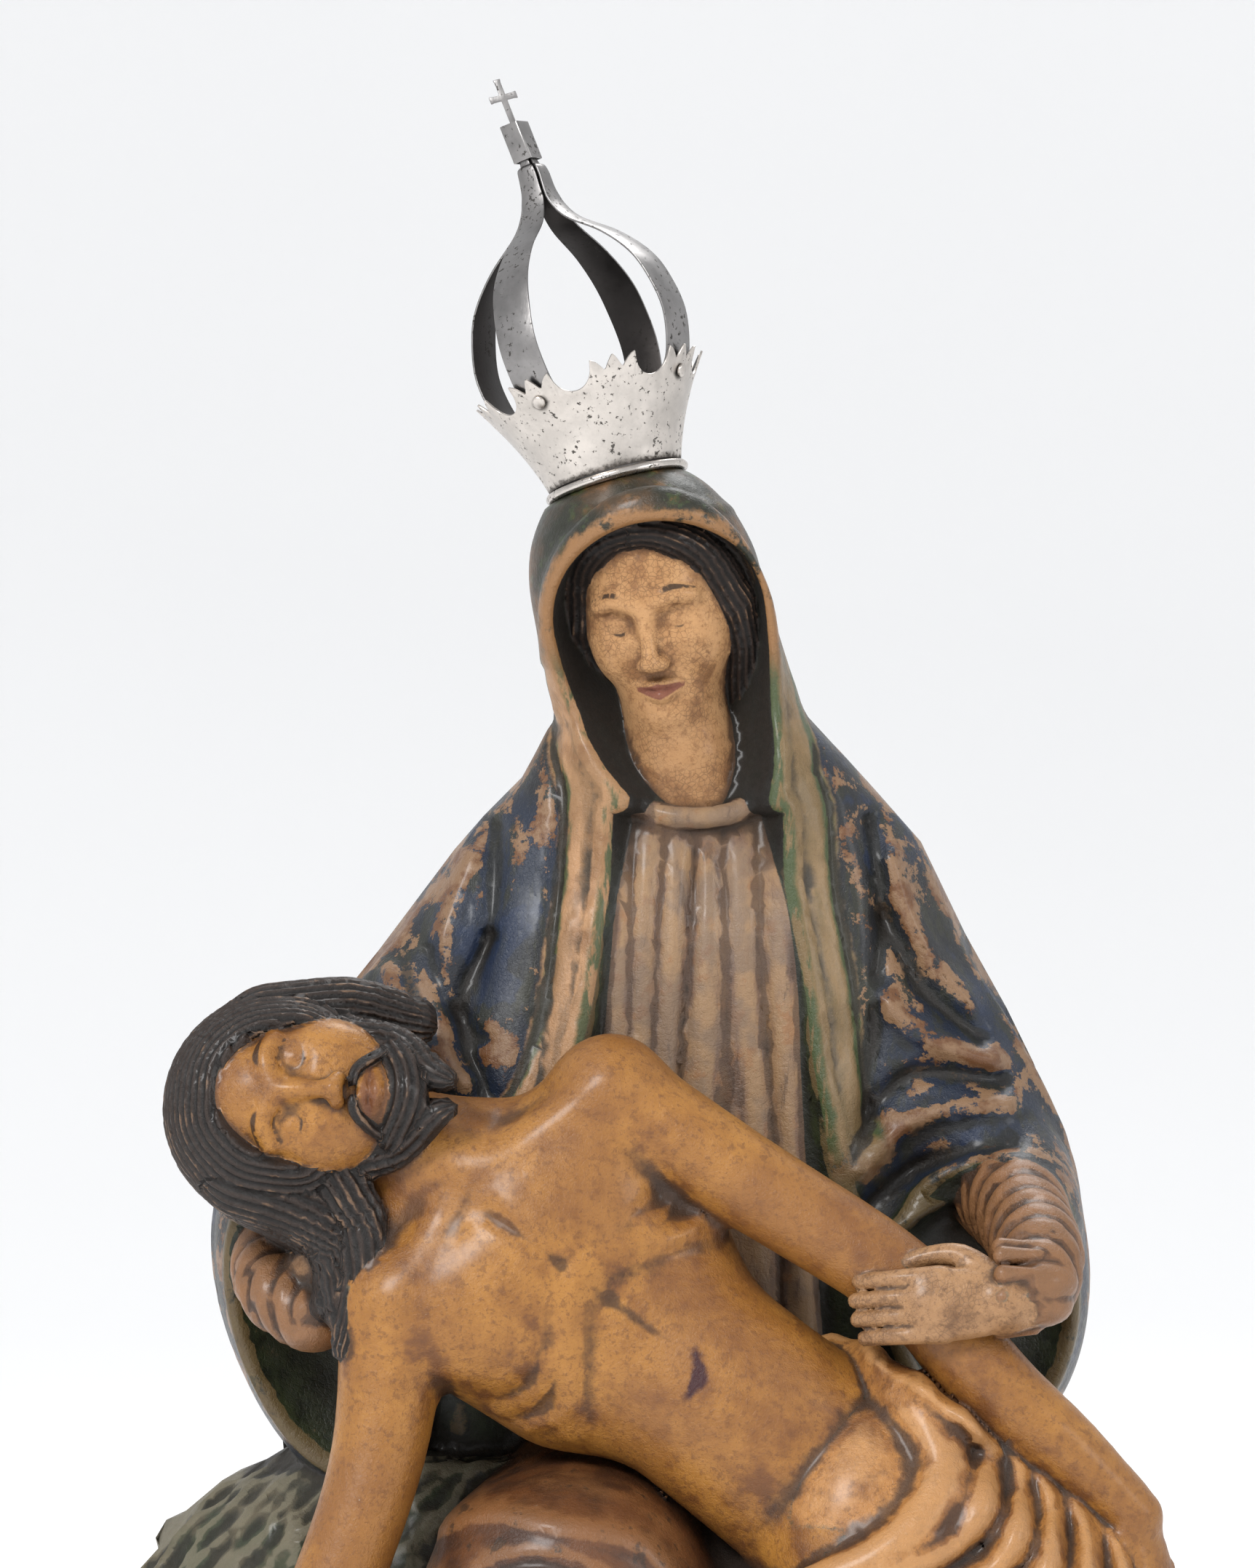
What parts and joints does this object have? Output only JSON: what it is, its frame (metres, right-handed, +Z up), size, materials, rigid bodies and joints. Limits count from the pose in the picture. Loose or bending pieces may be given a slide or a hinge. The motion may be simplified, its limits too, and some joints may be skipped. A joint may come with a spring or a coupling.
{
  "type": "pieta statue",
  "caption": "Painted wood carving of a seated veiled woman with a dead man laid across her lap, wearing an openwork sheet silver crown that narrows to a small cross.",
  "frame": {"origin": "middle of the underside of the low base", "axes": "+Z up, the front of the group faces -Y, +X to the viewer's right"},
  "size_m": [0.302, 0.2, 0.5576],
  "materials": {
    "painted_wood": "worn oil paint over gesso, glossy varnish on the flesh",
    "silver": "brushed silver sheet, tarnished inside"
  },
  "bodies": {
    "root": {"carved_group": "painted_wood", "crown_ring": "silver", "crown_band": "silver", "crown_strap_1": "silver", "crown_strap_2": "silver", "crown_strap_3": "silver", "crown_strap_4": "silver", "crown_rivet_1": "silver", "crown_rivet_2": "silver", "crown_rivet_3": "silver", "crown_rivet_4": "silver", "crown_sleeve": "silver", "crown_cross": "silver"}
  },
  "joints": []
}
